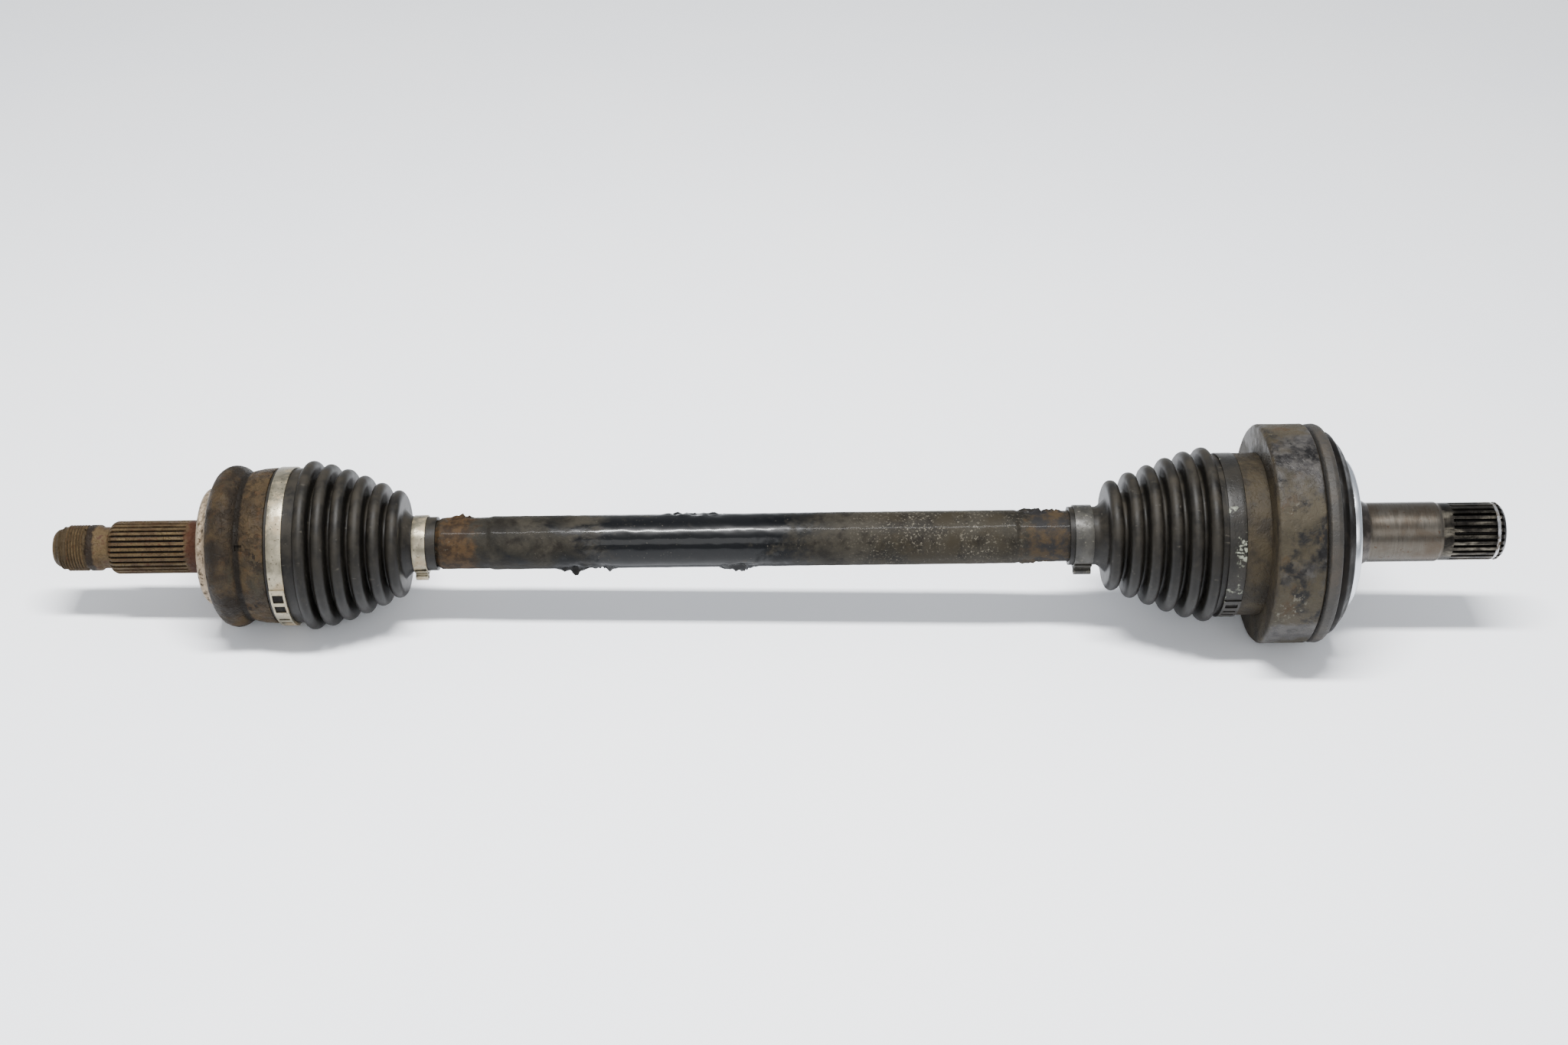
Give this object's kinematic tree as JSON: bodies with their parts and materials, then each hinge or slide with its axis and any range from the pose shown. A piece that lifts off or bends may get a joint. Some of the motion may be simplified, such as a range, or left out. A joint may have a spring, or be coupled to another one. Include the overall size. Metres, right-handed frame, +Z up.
{
  "type": "cv axle",
  "caption": "Driveshaft with a ball-type constant-velocity joint at its splined, threaded wheel end, a plunging tripod joint at its splined differential end, ribbed boots and band clamps.",
  "frame": {"origin": "on the axle's line, midway between the two joint centres", "axes": "+X along the axle towards the differential end, -X to the threaded wheel end, +Z up"},
  "size_m": [0.7541, 0.1144, 0.1144],
  "materials": {
    "painted_steel": "worn black paint over rusty steel",
    "rusted_steel": "pitted and rusty forging",
    "hardened_steel": "ground and greased",
    "rubber": "matt and dusty",
    "galvanised_steel": "galvanised strip, lightly stained",
    "dark_strip": "dark coated strip with worn flakes",
    "olive_steel": "olive brown film over steel",
    "machined_steel": "machined journal with a brown film",
    "seal_rubber": "black rubber",
    "bright_steel": "bright machined ring"
  },
  "bodies": {
    "bar": {"shaft_bar": "painted_steel", "outboard_race": "hardened_steel", "outboard_race_clip": "hardened_steel", "spider": "hardened_steel", "spider_clip": "hardened_steel", "roller_retainers": "hardened_steel", "outboard_small_clamp": "galvanised_steel", "inboard_small_clamp": "galvanised_steel"},
    "tilting_ball": {"outboard_ball_top": "hardened_steel"},
    "cage": {"outboard_cage": "hardened_steel", "outboard_balls_side": "hardened_steel", "outboard_boot": "rubber"},
    "swinging_ball": {"outboard_ball_bottom": "hardened_steel"},
    "outboard_joint": {"outboard_bell": "rusted_steel", "outboard_large_clamp": "galvanised_steel"},
    "roller_top": {"roller_top": "hardened_steel"},
    "needles_top": {"needles_top": "hardened_steel"},
    "roller_front": {"roller_front": "hardened_steel"},
    "needles_front": {"needles_front": "hardened_steel"},
    "roller_back": {"roller_back": "hardened_steel"},
    "needles_back": {"needles_back": "hardened_steel"},
    "inboard_boot": {"inboard_boot": "rubber"},
    "inboard_joint": {"inboard_housing": "olive_steel", "inboard_ring": "olive_steel", "inboard_stub": "machined_steel", "inboard_dust_seal": "seal_rubber", "inboard_wear_ring": "bright_steel", "diff_stub_clip": "hardened_steel", "inboard_large_clamp": "dark_strip"}
  },
  "joints": [
    {"name": "outboard_tilt_bar_side", "type": "hinge", "parent": "bar", "child": "tilting_ball", "pos_m": [-0.26, 0, 0], "axis": [0, 1, 0], "range_deg": [-10, 10]},
    {"name": "outboard_swing_bar_side", "type": "hinge", "parent": "tilting_ball", "child": "cage", "pos_m": [-0.26, 0, 0], "axis": [0, 0, 1], "range_deg": [-10, 10], "deforming": ["outboard_boot"]},
    {"name": "outboard_swing_wheel_side", "type": "hinge", "parent": "cage", "child": "swinging_ball", "pos_m": [-0.26, 0, 0], "axis": [0, 0, 1], "range_deg": [-10, 10]},
    {"name": "outboard_tilt_wheel_side", "type": "hinge", "parent": "swinging_ball", "child": "outboard_joint", "pos_m": [-0.26, 0, 0], "axis": [0, 1, 0], "range_deg": [-10, 10]},
    {"name": "inboard_swing", "type": "hinge", "parent": "bar", "child": "roller_top", "pos_m": [0.26, 0, 0], "axis": [0, 0, 1], "range_deg": [-10, 10]},
    {"name": "inboard_tilt", "type": "hinge", "parent": "roller_top", "child": "inboard_boot", "pos_m": [0.26, 0, 0], "axis": [0, 1, 0], "range_deg": [-10, 10]},
    {"name": "inboard_plunge", "type": "slide", "parent": "inboard_boot", "child": "inboard_joint", "axis": [1, 0, 0], "range_m": [-0.012, 0.012], "deforming": ["inboard_boot"]},
    {"name": "needles_top_orbit", "type": "hinge", "parent": "bar", "child": "needles_top", "pos_m": [0.26, 0, 0], "axis": [0, 0, 1], "range_deg": [-10, 10]},
    {"name": "roller_front_spin", "type": "hinge", "parent": "bar", "child": "roller_front", "pos_m": [0.26, 0, 0], "axis": [0, -0.866, -0.5], "continuous": true},
    {"name": "needles_front_orbit", "type": "hinge", "parent": "bar", "child": "needles_front", "pos_m": [0.26, 0, 0], "axis": [0, -0.866, -0.5], "continuous": true},
    {"name": "roller_back_spin", "type": "hinge", "parent": "bar", "child": "roller_back", "pos_m": [0.26, 0, 0], "axis": [0, 0.866, -0.5], "continuous": true},
    {"name": "needles_back_orbit", "type": "hinge", "parent": "bar", "child": "needles_back", "pos_m": [0.26, 0, 0], "axis": [0, 0.866, -0.5], "continuous": true}
  ],
  "couplings": [
    {"joint": "outboard_tilt_wheel_side", "follows": "outboard_tilt_bar_side", "ratio": 1},
    {"joint": "outboard_swing_wheel_side", "follows": "outboard_swing_bar_side", "ratio": 1},
    {"joint": "needles_top_orbit", "follows": "inboard_swing", "ratio": 0.56287},
    {"joint": "needles_front_orbit", "follows": "roller_front_spin", "ratio": 0.56287},
    {"joint": "needles_back_orbit", "follows": "roller_back_spin", "ratio": 0.56287}
  ]
}
